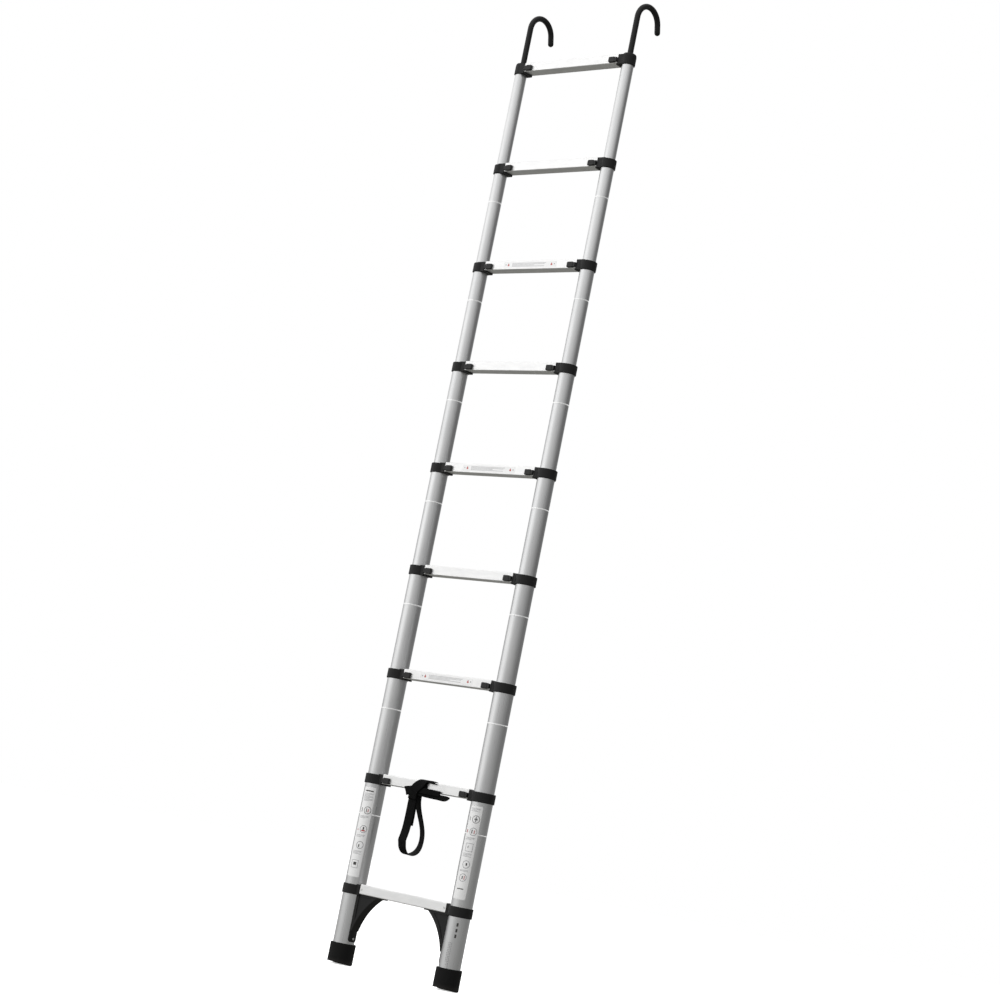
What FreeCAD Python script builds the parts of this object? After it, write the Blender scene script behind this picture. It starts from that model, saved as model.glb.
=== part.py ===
import FreeCAD, Part
import math
import os

from FreeCAD import Vector

# Telescoping ladder with nine rungs, standing upright and fully extended.
# Millimetres. +Z runs up the stiles, +X from the left to the right stile as the
# climber sees them, +Y away from the climber, towards the hooks. The origin lies
# on the floor plane, midway between the axes of the two stiles.
#
# Tube 1 stands in the rubber feet and carries rungs 1 and 2. Tube k, for k from 2
# to 8, slides out of tube k-1 through collar k and carries rung k+1.
# Most shapes are built once for the left stile in side coordinates: X is the
# distance from the stile's axis towards the middle of the ladder, and Z is 0 at
# the centre of the collar. both_sides() then sets them in place.

# ---- driving dimensions ------------------------------------------------------
STILE_SPACING = 394.0
RUNG_COUNT = 9
TUBE_COUNT = 8
FIRST_RUNG_HEIGHT = 207.0
FIRST_PITCH = 304.0
PITCH = 295.0
LAST_PITCH = 303.0
INSERTION = 100.0

TUBE_OD_FIRST = 59.0
TUBE_OD_STEP = 3.6
TUBE_WALL = 1.4
TUBE_TOP = 10.0
GROOVE_DEPTH = 0.45
GROOVE_WIDTH = 2.4

COLLAR_BOTTOM = -15.3
COLLAR_TOP = 11.3
RING_THICKNESS = 3.2
BLOCK_REACH = 5.2
BLOCK_SIDE = 1.2
BLOCK_BOTTOM = -14.8
BLOCK_TOP = 13.4
TONGUE_LENGTH = 12.0
LIP_PLATE = (5.0, 34.0, 4.0)
SLIDING_GAP = 0.35
FIT_GAP = 0.1
DOME_HEIGHT = 7.5

RUNG_DEPTH = 36.0
RUNG_BOTTOM = -11.5
RUNG_TOP = 15.5
RUNG_WALL = 1.5
RUNG_TOP_WALL = 2.4
RUNG_CORNER = 2.2
RIB_PITCH = 3.0
RIB_COUNT = 11

PIN_HEIGHT = -2.0
PIN_RADIUS = 3.5
PIN_HOLE_RADIUS = 3.8
LATCH_TRAVEL = 7.0
THUMB_LENGTH = 22.0
THUMB_HEIGHT = 16.0
THUMB_DEPTH = 6.5
NECK_LENGTH = 7.0
NECK_HEIGHT = 13.0
NECK_DEPTH = 5.6
STEM_START = 13.0
STEM_LENGTH = 8.5
SPRING_LENGTH = 18.0
SPRING_RADIUS = 3.3
SPRING_WIRE = 1.3
SPRING_TURNS = 5
SPRING_TAB = 1.5

FOOT_RADIUS = 35.0
HEEL_ROUNDING = 4.0
FOOT_TOP = 57.0
FOOT_FLOOR = 12.0
FRONT_SOLE = 5.0

GUSSET_DEPTH = 28.0
GUSSET_FLANGE_END = 117.0
GUSSET_FLANGE = 3.0
GUSSET_LOWER_END = 143.0
GUSSET_TAB = 3.0
GUSSET_RIVET_DROP = 134.0
RUNG_RIVET_HEIGHT = 2.0

HOOK_ROD_RADIUS = 6.0
HOOK_SLEEVE_RADIUS = 8.2
HOOK_BEND_RADIUS = 46.5
HOOK_BEND_HEIGHT = 129.0
HOOK_FLARE = 15.0
HOOK_TAIL = 21.0
HOOK_DEPTH_IN_TUBE = 56.0

STRAP_WIDTH = 30.0
STRAP_THICKNESS = 2.4
STRAP_CENTRE = -34.0
STRAP_WRAP = 2.6

HALF_SPACING = STILE_SPACING / 2
HALF_DEPTH = RUNG_DEPTH / 2
CUT = 200.0


# ---- shared helpers ----------------------------------------------------------
def tube_radius(number):
    """Outer radius of tube 1 to 8."""
    return (TUBE_OD_FIRST - TUBE_OD_STEP * (number - 1)) / 2


def rung_height(number):
    """Height of the centre of collar 1 to 9 above the floor."""
    height = FIRST_RUNG_HEIGHT
    if number > 1:
        height += FIRST_PITCH + PITCH * (min(number, TUBE_COUNT) - 2)
    if number > TUBE_COUNT:
        height += LAST_PITCH
    return height


def carrier_tube(number):
    """The tube that collar 1 to 9 is fixed to."""
    return max(1, number - 1)


def ring_radius(number):
    """Outer radius of the ring of a collar."""
    return tube_radius(carrier_tube(number)) + RING_THICKNESS


def block_end(number):
    """Distance from the stile's axis to the face that the rung butts against."""
    return ring_radius(number) + BLOCK_REACH


def cylinder(radius, low, high, x=0.0, y=0.0):
    """A vertical cylinder."""
    return Part.makeCylinder(radius, high - low, Vector(x, y, low))


def rod_along_x(radius, start, end, y=0.0, z=0.0):
    """A cylinder that lies along X."""
    return Part.makeCylinder(radius, end - start, Vector(start, y, z), Vector(1, 0, 0))


def box(x_range, y_range, z_range):
    """A box from its lowest and highest coordinates."""
    size = [high - low for low, high in (x_range, y_range, z_range)]
    return Part.makeBox(*size, Vector(x_range[0], y_range[0], z_range[0]))


def ring(outer, inner, low, high):
    """A vertical tube."""
    return cylinder(outer, low, high).cut(cylinder(inner, low - 1, high + 1))


def rounded(shape, radius, chosen):
    """Fillets the edges for which chosen(edge's centre, edge) is true."""
    edges = [edge for edge in shape.Edges if chosen(edge.CenterOfMass, edge)]
    return shape.makeFillet(radius, edges)


def near(value, target):
    return abs(value - target) < 0.01


def both_sides(shape, height):
    """The left and the right copy of a shape given in side coordinates."""
    left = shape.copy()
    left.translate(Vector(-HALF_SPACING, 0, height))
    right = left.mirror(Vector(0, 0, 0), Vector(1, 0, 0))
    return left, right


def export(name, solids):
    """Writes one node; several separate solids become one compound."""
    shape = solids[0] if len(solids) == 1 else Part.makeCompound(solids)
    shape.exportStep("parts/" + name + ".step")
    print(name, len(solids), round(shape.Volume), shape.isValid())


def profile_face(points):
    """A flat face with straight sides."""
    corners = [Vector(*point) for point in points]
    return Part.Face(Part.makePolygon(corners + corners[:1]))


# ---- stile tubes and guide bushes --------------------------------------------
def stile_tube(number):
    """Tube k in side coordinates; Z is 0 at the collar it carries."""
    radius = tube_radius(number)
    upper_collar = rung_height(number + 1)
    if number == 1:
        low = FOOT_FLOOR - upper_collar
    else:
        low = rung_height(number) - INSERTION - upper_collar
    tube = ring(radius, radius - TUBE_WALL, low, TUBE_TOP)
    pin_hole = rod_along_x(PIN_HOLE_RADIUS, 0, CUT, z=PIN_HEIGHT)
    tube = tube.cut(pin_hole)
    if number > 1:
        lock_hole = pin_hole.copy()
        lock_hole.translate(Vector(0, 0, rung_height(number) - upper_collar))
        tube = tube.cut(lock_hole)
    if number < TUBE_COUNT:
        groove_low = -INSERTION - GROOVE_WIDTH / 2
        groove = ring(radius + 1, radius - GROOVE_DEPTH, groove_low, groove_low + GROOVE_WIDTH)
        tube = tube.cut(groove)
    return tube


def guide_bush(number):
    """The plastic bush in the lower end of tube k, which runs in tube k-1."""
    flange = tube_radius(number - 1) - TUBE_WALL - 0.15
    spigot = tube_radius(number) - TUBE_WALL - FIT_GAP
    bore = spigot - 1.6
    end = -INSERTION
    bush = cylinder(flange, end - 6, end)
    bush = rounded(bush, 1.0, lambda centre, edge: near(centre.z, end - 6))
    bush = bush.fuse(cylinder(spigot, end, end + 14))
    return bush.cut(cylinder(bore, end - 7, end + 15)).removeSplitter()


# ---- collars -----------------------------------------------------------------
def connector_body(number):
    """Ring, block and tongue of a collar, before any hole is cut."""
    outer = ring_radius(number)
    face = block_end(number)
    half = HALF_DEPTH + BLOCK_SIDE
    collar_ring = cylinder(outer, COLLAR_BOTTOM, COLLAR_TOP)
    collar_ring = rounded(collar_ring, 1.4, lambda centre, edge: len(edge.Vertexes) == 1)
    block = box((0, face), (-half, half), (BLOCK_BOTTOM, BLOCK_TOP))
    block = rounded(block, 1.8, lambda centre, edge: near(centre.x, face))
    tongue = box(
        (face - 2, face + TONGUE_LENGTH),
        (-HALF_DEPTH + RUNG_WALL + FIT_GAP, HALF_DEPTH - RUNG_WALL - FIT_GAP),
        (RUNG_BOTTOM + RUNG_WALL + FIT_GAP, RUNG_TOP - RUNG_TOP_WALL - FIT_GAP),
    )
    return collar_ring.fuse(block).fuse(tongue)


def lip_plate(number):
    """The plate under the rung, beside the block."""
    face = block_end(number)
    length, width, thickness = LIP_PLATE
    plate = box(
        (face - 4, face + length),
        (-width / 2, width / 2),
        (RUNG_BOTTOM - thickness, RUNG_BOTTOM),
    )
    return rounded(plate, 4.0, lambda centre, edge: near(centre.x, face + length)
                   and near(centre.z, RUNG_BOTTOM - thickness / 2))


def collar(number):
    """Collar 1 to 9 in side coordinates."""
    carrier = tube_radius(carrier_tube(number))
    body = connector_body(number)
    if number == 1:
        return body.cut(cylinder(carrier, -CUT, CUT)).removeSplitter()
    body = body.fuse(lip_plate(number))
    if number < RUNG_COUNT:
        body = body.cut(cylinder(carrier, -CUT, TUBE_TOP))
        body = body.cut(cylinder(tube_radius(number) + SLIDING_GAP, 0, CUT))
    else:
        body = body.fuse(top_dome(number))
        body = body.cut(cylinder(carrier, -CUT, TUBE_TOP))
        body = body.cut(cylinder(HOOK_ROD_RADIUS + 0.25, 0, CUT))
    pin_bore = rod_along_x(PIN_HOLE_RADIUS, 0, CUT, z=PIN_HEIGHT)
    return body.cut(pin_bore).removeSplitter()


def top_dome(number):
    """The rounded cap that closes the top collar around the hook."""
    radius = ring_radius(number)
    dome = cylinder(radius - 0.6, COLLAR_TOP - 4, COLLAR_TOP + DOME_HEIGHT)
    return rounded(dome, DOME_HEIGHT - 1.5,
                   lambda centre, edge: near(centre.z, COLLAR_TOP + DOME_HEIGHT))


# ---- rungs -------------------------------------------------------------------
def rung_profile():
    """Hollow section of a rung with a ribbed tread, at X = 0."""
    outer = box((0, 1), (-HALF_DEPTH, HALF_DEPTH), (RUNG_BOTTOM, RUNG_TOP))
    outer = rounded(outer, RUNG_CORNER, lambda centre, edge: near(centre.x, 0.5))
    for index in range(RIB_COUNT):
        y = (index - (RIB_COUNT - 1) / 2) * RIB_PITCH
        outer = outer.cut(box((-1, 2), (y - 0.6, y + 0.6), (RUNG_TOP - 0.8, RUNG_TOP + 1)))
    inner = box(
        (-1, 2),
        (-HALF_DEPTH + RUNG_WALL, HALF_DEPTH - RUNG_WALL),
        (RUNG_BOTTOM + RUNG_WALL, RUNG_TOP - RUNG_TOP_WALL),
    )
    section = outer.cut(inner)
    return [face for face in section.Faces if near(face.CenterOfMass.x, 0)][0]


def latch_slot(number):
    """The slot in the rung's front wall that the latch's stem runs in."""
    start = block_end(number) + STEM_START - 0.4
    end = start + STEM_LENGTH + LATCH_TRAVEL + 0.8
    slot = box((start, end), (-CUT, 0), (PIN_HEIGHT - 4.4, PIN_HEIGHT + 4.4))
    return rounded(slot, 1.8, lambda centre, edge: near(centre.y, -CUT / 2))


def spring_tab(number):
    """The lanced tab inside the rung that the latch's spring pushes on."""
    start = block_end(number) + STEM_START + STEM_LENGTH + SPRING_LENGTH + LATCH_TRAVEL + 0.5
    return box(
        (start, start + SPRING_TAB),
        (-7, 7),
        (RUNG_BOTTOM + RUNG_WALL / 2, PIN_HEIGHT + 7),
    )


def rung(number):
    """Rung 1 to 9, along X, with Z at 0 in the centre of its collars."""
    end = HALF_SPACING - block_end(number)
    profile = rung_profile()
    profile.translate(Vector(-end, 0, 0))
    bar = profile.extrude(Vector(2 * end, 0, 0))
    if number > 1:
        for slot in both_sides(latch_slot(number), 0):
            bar = bar.cut(slot)
        for tab in both_sides(spring_tab(number), 0):
            bar = bar.fuse(tab)
    else:
        for shank in (rung_rivet(shank_only=True), rear_rung_rivet(shank_only=True)):
            for hole in both_sides(shank, 0):
                bar = bar.cut(hole)
    bar.translate(Vector(0, 0, rung_height(number)))
    return bar


# ---- latches -----------------------------------------------------------------
def latch_spring():
    """Compression spring along X, starting at X = 0."""
    pitch = SPRING_LENGTH / SPRING_TURNS
    helix = Part.makeHelix(pitch, SPRING_LENGTH - SPRING_WIRE, SPRING_RADIUS)
    start = Vector(SPRING_RADIUS, 0, 0)
    rise = pitch / (2 * math.pi * SPRING_RADIUS)
    section = Part.Wire(Part.makeCircle(SPRING_WIRE / 2, start, Vector(0, 1, rise)))
    coil = Part.Wire(helix).makePipeShell([section], True, True)
    coil.rotate(Vector(0, 0, 0), Vector(0, 1, 0), 90)
    coil.translate(Vector(SPRING_WIRE / 2, 0, 0))
    return coil


def latch(number):
    """Thumb slide with its locking pin, and the return spring behind it."""
    face = block_end(number)
    if number < RUNG_COUNT:
        tip = tube_radius(number) + 0.3
    else:
        tip = HOOK_ROD_RADIUS + 0.35
    front = -HALF_DEPTH - 0.3
    neck = box(
        (face + 0.3, face + NECK_LENGTH + 4),
        (front - NECK_DEPTH, front),
        (-NECK_HEIGHT / 2, NECK_HEIGHT / 2),
    )
    neck = rounded(neck, 1.6, lambda centre, edge: near(centre.y, front - NECK_DEPTH)
                   and not near(centre.x, face + NECK_LENGTH + 4))
    thumb = box(
        (face + NECK_LENGTH, face + NECK_LENGTH + THUMB_LENGTH),
        (front - THUMB_DEPTH, front),
        (-THUMB_HEIGHT / 2, THUMB_HEIGHT / 2),
    )
    thumb = rounded(thumb, 3.0, lambda centre, edge: near(centre.y, front - THUMB_DEPTH / 2))
    thumb = rounded(thumb, 1.8, lambda centre, edge: near(centre.y, front - THUMB_DEPTH))
    stem = box(
        (face + STEM_START, face + STEM_START + STEM_LENGTH),
        (front - 1, 0),
        (-4.0, 4.0),
    )
    stem = rounded(stem, 1.8, lambda centre, edge: near(centre.y, (front - 1) / 2))
    carrier = box(
        (face + STEM_START, face + STEM_START + STEM_LENGTH),
        (-5.0, 5.0),
        (-5.0, 5.0),
    )
    pin = rod_along_x(PIN_RADIUS, tip, face + STEM_START + 2)
    pin = rounded(pin, 0.8, lambda centre, edge: near(centre.x, tip))
    body = thumb.fuse([neck, stem, carrier, pin]).removeSplitter()
    spring = latch_spring()
    spring.translate(Vector(face + STEM_START + STEM_LENGTH, 0, 0))
    body.translate(Vector(0, 0, PIN_HEIGHT))
    spring.translate(Vector(0, 0, PIN_HEIGHT))
    return body, spring


# ---- feet, gussets and rivets ------------------------------------------------
def foot():
    """Rubber boot with a stepped sole; side coordinates, Z from the floor."""
    s_curve = Part.BSplineCurve()
    s_curve.interpolate(
        [Vector(0, -3, FRONT_SOLE), Vector(0, 4, FRONT_SOLE / 2), Vector(0, 11, 0)],
        InitialTangent=Vector(0, 1, 0), FinalTangent=Vector(0, 1, 0),
    )
    radius = FOOT_RADIUS
    corner = 7.0
    middle = radius - corner * (1 - math.cos(math.pi / 4))
    side = Part.Wire([
        Part.makeLine(Vector(0, -radius, FOOT_TOP), Vector(0, -radius, FRONT_SOLE)),
        Part.makeLine(Vector(0, -radius, FRONT_SOLE), Vector(0, -3, FRONT_SOLE)),
        s_curve.toShape(),
        Part.makeLine(Vector(0, 11, 0), Vector(0, radius - corner, 0)),
        Part.Arc(
            Vector(0, radius - corner, 0),
            Vector(0, middle, corner * (1 - math.cos(math.pi / 4))),
            Vector(0, radius, corner),
        ).toShape(),
        Part.makeLine(Vector(0, radius, corner), Vector(0, radius, FOOT_TOP)),
        Part.makeLine(Vector(0, radius, FOOT_TOP), Vector(0, -radius, FOOT_TOP)),
    ])
    slab = Part.Face(side).extrude(Vector(2 * radius, 0, 0))
    slab.translate(Vector(-radius, 0, 0))
    envelope = rounded(cylinder(radius, 0, FOOT_TOP), HEEL_ROUNDING,
                       lambda centre, edge: near(centre.z, 0) and edge.Length > radius)
    boot = slab.common(envelope)
    boot = rounded(boot, 1.5, lambda centre, edge: near(centre.z, FOOT_TOP)
                   and edge.Length > radius)
    for y in (14.0, 19.0, 24.0):
        boot = boot.cut(box((-CUT, CUT), (y - 1, y + 1), (-1, 1.6)))
    for y in (-24.0, -17.0, -10.0):
        boot = boot.cut(box((-CUT, CUT), (y - 1, y + 1), (-1, FRONT_SOLE + 1.6)))
    return boot.cut(cylinder(tube_radius(1), FOOT_FLOOR, CUT))


def gusset():
    """Arched corner brace under rung 1, wrapped round the tube's inner side."""
    flange_low = RUNG_BOTTOM - GUSSET_FLANGE
    half = GUSSET_DEPTH / 2
    surface = tube_radius(1)
    arc = Part.Arc(
        Vector(101, 0, flange_low), Vector(56, 0, -60), Vector(surface + GUSSET_TAB, 0, -112)
    ).toShape()
    corner = Vector(101, 0, flange_low)
    outline = Part.Wire([
        Part.makeLine(Vector(0, 0, RUNG_BOTTOM), Vector(GUSSET_FLANGE_END, 0, RUNG_BOTTOM)),
        Part.makeLine(
            Vector(GUSSET_FLANGE_END, 0, RUNG_BOTTOM), Vector(GUSSET_FLANGE_END, 0, flange_low)
        ),
        Part.makeLine(Vector(GUSSET_FLANGE_END, 0, flange_low), corner),
        arc,
        Part.makeLine(arc.Vertexes[-1].Point, Vector(0, 0, -112)),
        Part.makeLine(Vector(0, 0, -112), Vector(0, 0, RUNG_BOTTOM)),
    ])
    web = Part.Face(outline).extrude(Vector(0, GUSSET_DEPTH, 0))
    web.translate(Vector(0, -half, 0))
    pocket_arc = Part.Arc(
        Vector(80, 0, flange_low - 3), Vector(50, 0, -51), Vector(surface + 6, 0, -84)
    ).toShape()
    pocket_outline = Part.Wire([
        Part.makeLine(Vector(surface + 6, 0, flange_low - 3), Vector(80, 0, flange_low - 3)),
        pocket_arc,
        Part.makeLine(Vector(surface + 6, 0, -84), Vector(surface + 6, 0, flange_low - 3)),
    ])
    pocket = Part.Face(pocket_outline).extrude(Vector(0, 1.6, 0))
    for y in (-half - 0.01, half - 1.59):
        recess = pocket.copy()
        recess.translate(Vector(0, y, 0))
        web = web.cut(recess)
    saddle = ring(surface + GUSSET_TAB, surface, -GUSSET_LOWER_END, RUNG_BOTTOM)
    tab = box((0, CUT), (-half, half), (-GUSSET_LOWER_END, RUNG_BOTTOM))
    tab = rounded(tab, 8.0, lambda centre, edge: near(centre.z, -GUSSET_LOWER_END)
                  and abs(centre.y) > half - 1)
    brace = web.cut(cylinder(surface, -CUT, CUT)).fuse(saddle.common(tab))
    collar_space = cylinder(ring_radius(1) + 0.1, COLLAR_BOTTOM, CUT)
    block_space = box((0, block_end(1) + 0.1), (-CUT, CUT), (BLOCK_BOTTOM, CUT))
    brace = brace.cut(collar_space).cut(block_space).cut(tab_rivet(shank_only=True))
    return brace.cut(flange_rivet(shank_only=True)).removeSplitter()


def button_head(radius, height, shank_radius, shank_length, shank_only):
    """A blind rivet along +Z: domed head above Z = 0, shank below."""
    shank = Part.makeCylinder(shank_radius, shank_length, Vector(0, 0, -shank_length))
    if shank_only:
        return shank
    head = Part.makeCylinder(radius, height)
    head = rounded(head, height * 0.7, lambda centre, edge: near(centre.z, height))
    return head.fuse(shank).removeSplitter()


def rung_rivet(shank_only=False):
    """Rivet through the front wall of rung 1 into the collar's tongue."""
    rivet = button_head(3.0, 1.2, 1.6, RUNG_WALL, shank_only)
    rivet.rotate(Vector(0, 0, 0), Vector(1, 0, 0), 90)
    rivet.translate(Vector(block_end(1) + 6, -HALF_DEPTH, RUNG_RIVET_HEIGHT))
    return rivet


def rear_rung_rivet(shank_only=False):
    """The same rivet in the rear wall."""
    return rung_rivet(shank_only).mirror(Vector(0, 0, 0), Vector(0, 1, 0))


def tab_rivet(shank_only=False):
    """Rivet through the lower end of the gusset into the tube."""
    rivet = button_head(3.2, 1.3, 1.7, GUSSET_TAB, shank_only)
    rivet.rotate(Vector(0, 0, 0), Vector(0, 1, 0), 90)
    rivet.translate(Vector(tube_radius(1) + GUSSET_TAB, 0, -GUSSET_RIVET_DROP))
    return rivet


def flange_rivet(shank_only=False):
    """Rivet through the gusset's flange into the underside of rung 1."""
    rivet = button_head(3.0, 1.2, 1.6, GUSSET_FLANGE, shank_only)
    rivet.rotate(Vector(0, 0, 0), Vector(1, 0, 0), 180)
    rivet.translate(Vector(GUSSET_FLANGE_END - 7, 0, RUNG_BOTTOM - GUSSET_FLANGE))
    return rivet


# ---- hooks -------------------------------------------------------------------
def hook_path(start):
    """Centre line of a hook: shank from a height, bend, flared tail."""
    centre = Vector(0, HOOK_BEND_RADIUS, HOOK_BEND_HEIGHT)
    flare = math.radians(HOOK_FLARE)
    bend_end = centre + Vector(0, math.cos(flare), math.sin(flare)) * HOOK_BEND_RADIUS
    tail_end = bend_end + Vector(0, math.sin(flare), -math.cos(flare)) * HOOK_TAIL
    shank_top = Vector(0, 0, HOOK_BEND_HEIGHT)
    crown = centre + Vector(0, 0, HOOK_BEND_RADIUS)
    path = Part.Wire([
        Part.makeLine(Vector(0, 0, start), shank_top),
        Part.Arc(shank_top, crown, bend_end).toShape(),
        Part.makeLine(bend_end, tail_end),
    ])
    return path, tail_end


def swept_rod(radius, start):
    """A round bar along the hook's centre line."""
    path, tail_end = hook_path(start)
    section = Part.Wire(Part.makeCircle(radius, Vector(0, 0, start), Vector(0, 0, 1)))
    return path.makePipeShell([section], True, True), tail_end


def hook_rod():
    """Steel rod of a hook, with the notch that its latch locks."""
    rod, tail_end = swept_rod(HOOK_ROD_RADIUS, -HOOK_DEPTH_IN_TUBE)
    notch = rod_along_x(PIN_HOLE_RADIUS, HOOK_ROD_RADIUS - 3, CUT, z=PIN_HEIGHT)
    return rod.cut(notch)


def hook_sleeve():
    """Rubber sleeve over the hook's bend, closed by a rounded tip."""
    low = COLLAR_TOP + DOME_HEIGHT + 0.2
    outer, tail_end = swept_rod(HOOK_SLEEVE_RADIUS, low)
    tip = Part.makeSphere(HOOK_SLEEVE_RADIUS, tail_end)
    core, tail_end = swept_rod(HOOK_ROD_RADIUS, low)
    return outer.fuse(tip).cut(core).removeSplitter()


def hook_guide():
    """Bush inside tube 8 that the hook's shank plugs into."""
    outer = tube_radius(TUBE_COUNT) - TUBE_WALL - FIT_GAP
    low = -HOOK_DEPTH_IN_TUBE - 4
    bush = ring(outer, HOOK_ROD_RADIUS + 0.25, low, TUBE_TOP - 0.2)
    return bush.cut(rod_along_x(PIN_HOLE_RADIUS, 0, CUT, z=PIN_HEIGHT))


# ---- strap on rung 2 ---------------------------------------------------------
def ribbon(route, thickness, x_low, x_high):
    """A band along a smooth route in the YZ plane, as wide as the X range."""
    spine = Part.BSplineCurve()
    spine.interpolate([Vector(0, y, z) for y, z in route])
    steps = 3 * len(route)
    inner, outer = [], []
    for index in range(steps + 1):
        parameter = spine.FirstParameter
        parameter += (spine.LastParameter - spine.FirstParameter) * index / steps
        point = spine.value(parameter)
        along = spine.tangent(parameter)[0]
        across = Vector(0, -along.z, along.y) * (thickness / 2)
        inner.append(point + across)
        outer.append(point - across)
    edges = []
    for side in (inner, outer):
        curve = Part.BSplineCurve()
        curve.interpolate(side)
        edges.append(curve.toShape())
    edges.append(Part.makeLine(inner[0], outer[0]))
    edges.append(Part.makeLine(inner[-1], outer[-1]))
    face = Part.Face(Part.Wire(Part.__sortEdges__(edges)))
    band = face.extrude(Vector(x_high - x_low, 0, 0))
    band.translate(Vector(x_low, 0, 0))
    return band


# Side view of the hanging loop, Y and Z from the centre of rung 2: down in front
# of the rung, round the bottom, and up again to the middle of its underside.
STRAP_LOOP_ROUTE = [
    (-21.5, -15.0),
    (-20.5, -45.0),
    (-18.5, -82.0),
    (-17.5, -115.0),
    (-20.5, -136.0),
    (-24.0, -153.0),
    (-17.0, -170.0),
    (-2.0, -181.0),
    (18.0, -184.5),
    (35.0, -178.0),
    (46.0, -163.0),
    (50.0, -142.5),
    (46.5, -120.0),
    (36.0, -98.0),
    (22.0, -76.0),
    (10.0, -55.0),
    (3.0, -36.0),
    (1.0, -15.0),
]


def strap_loop():
    """The hanging loop of the carrying strap."""
    low = STRAP_CENTRE - STRAP_WIDTH / 2
    loop = ribbon(STRAP_LOOP_ROUTE, STRAP_THICKNESS, low, low + STRAP_WIDTH)
    loop.translate(Vector(0, 0, rung_height(2)))
    return loop


def strap_wrap():
    """The strap's turns round rung 2, with its loose ends."""
    gap = 0.05
    wrap = STRAP_WRAP
    inside = box(
        (-CUT, CUT),
        (-HALF_DEPTH - gap, HALF_DEPTH + gap),
        (RUNG_BOTTOM - gap, RUNG_TOP + gap),
    )
    turns = box(
        (-62, 14),
        (-HALF_DEPTH - wrap, HALF_DEPTH + wrap),
        (RUNG_BOTTOM - wrap, RUNG_TOP + wrap),
    )
    turns = rounded(turns, 1.5, lambda centre, edge: near(centre.x, -24))
    knot = box((-44, 13), (-HALF_DEPTH - 9, -HALF_DEPTH - 1), (-14, 14))
    knot = rounded(knot, 3.0, lambda centre, edge: near(centre.y, -HALF_DEPTH - 9))
    short_end = box((6, 60), (-HALF_DEPTH - 3, -HALF_DEPTH - 0.3), (-24, -5))
    long_end = box((6, 90), (-HALF_DEPTH - 6, -HALF_DEPTH - 3), (-29, -14))
    strap = turns.fuse([knot, short_end, long_end]).cut(inside).removeSplitter()
    strap.translate(Vector(0, 0, rung_height(2)))
    return strap


# ---- export ------------------------------------------------------------------
def main():
    os.makedirs("parts", exist_ok=True)
    for number in range(1, TUBE_COUNT + 1):
        top = rung_height(number + 1)
        export("stile_tubes_%d" % number, both_sides(stile_tube(number), top))
    for number in range(2, TUBE_COUNT + 1):
        export("guide_bushes_%d" % number, both_sides(guide_bush(number), rung_height(number)))
    for number in range(1, RUNG_COUNT + 1):
        height = rung_height(number)
        export("collars_%d" % number, both_sides(collar(number), height))
        export("rung_%d" % number, [rung(number)])
        if number > 1:
            slide, spring = (both_sides(piece, height) for piece in latch(number))
            export("latch_left_%d" % number, [slide[0], spring[0]])
            export("latch_right_%d" % number, [slide[1], spring[1]])

    left_foot, right_foot = both_sides(foot(), 0)
    export("foot_left", [left_foot])
    export("foot_right", [right_foot])
    export("gussets", both_sides(gusset(), FIRST_RUNG_HEIGHT))
    rivets = []
    for rivet in (rung_rivet(), rear_rung_rivet(), tab_rivet(), flange_rivet()):
        rivets.extend(both_sides(rivet, FIRST_RUNG_HEIGHT))
    export("rivets", rivets)

    top = rung_height(RUNG_COUNT)
    left_rod, right_rod = both_sides(hook_rod(), top)
    left_sleeve, right_sleeve = both_sides(hook_sleeve(), top)
    export("hook_rod_left", [left_rod])
    export("hook_rod_right", [right_rod])
    export("hook_sleeve_left", [left_sleeve])
    export("hook_sleeve_right", [right_sleeve])
    export("hook_guides", both_sides(hook_guide(), top))

    export("strap_loop", [strap_loop()])
    export("strap_wrap", [strap_wrap()])


main()
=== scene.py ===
"""Looks of the telescoping ladder: nine rungs, eight pairs of stile tubes, two hooks.

Metres, in the row frame: +Z up the stiles, +X to the climber's right, -Y towards the
climber. The CAD nodes keep their shapes and get their materials here. The carrying
strap, the labels and the bright marker rings are pieces built here.
"""
import math

import bmesh
import bpy
from mathutils import Euler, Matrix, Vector


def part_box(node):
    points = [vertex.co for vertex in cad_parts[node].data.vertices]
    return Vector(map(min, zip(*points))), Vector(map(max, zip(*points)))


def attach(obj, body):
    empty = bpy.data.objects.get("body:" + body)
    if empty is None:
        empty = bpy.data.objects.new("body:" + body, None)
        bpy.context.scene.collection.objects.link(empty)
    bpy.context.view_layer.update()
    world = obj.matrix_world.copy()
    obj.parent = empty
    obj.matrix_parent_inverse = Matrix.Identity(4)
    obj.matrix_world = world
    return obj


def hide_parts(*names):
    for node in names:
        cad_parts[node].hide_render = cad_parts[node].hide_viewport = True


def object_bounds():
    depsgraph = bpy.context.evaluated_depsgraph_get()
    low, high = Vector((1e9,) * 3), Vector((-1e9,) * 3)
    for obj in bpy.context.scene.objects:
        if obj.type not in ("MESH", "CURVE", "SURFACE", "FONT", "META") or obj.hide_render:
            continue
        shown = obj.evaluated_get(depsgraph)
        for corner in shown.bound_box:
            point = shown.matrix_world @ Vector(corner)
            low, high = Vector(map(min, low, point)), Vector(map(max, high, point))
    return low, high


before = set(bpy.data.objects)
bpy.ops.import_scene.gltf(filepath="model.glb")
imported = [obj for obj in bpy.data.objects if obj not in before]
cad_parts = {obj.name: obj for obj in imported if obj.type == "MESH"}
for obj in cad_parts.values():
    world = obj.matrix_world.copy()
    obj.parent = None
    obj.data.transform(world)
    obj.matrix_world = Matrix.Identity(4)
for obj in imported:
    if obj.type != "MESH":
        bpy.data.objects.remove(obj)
cad_box = [list(corner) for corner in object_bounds()]

MM = 0.001
TUBE_COUNT = 8
LABELLED_RUNGS = (3, 5, 7)
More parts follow.
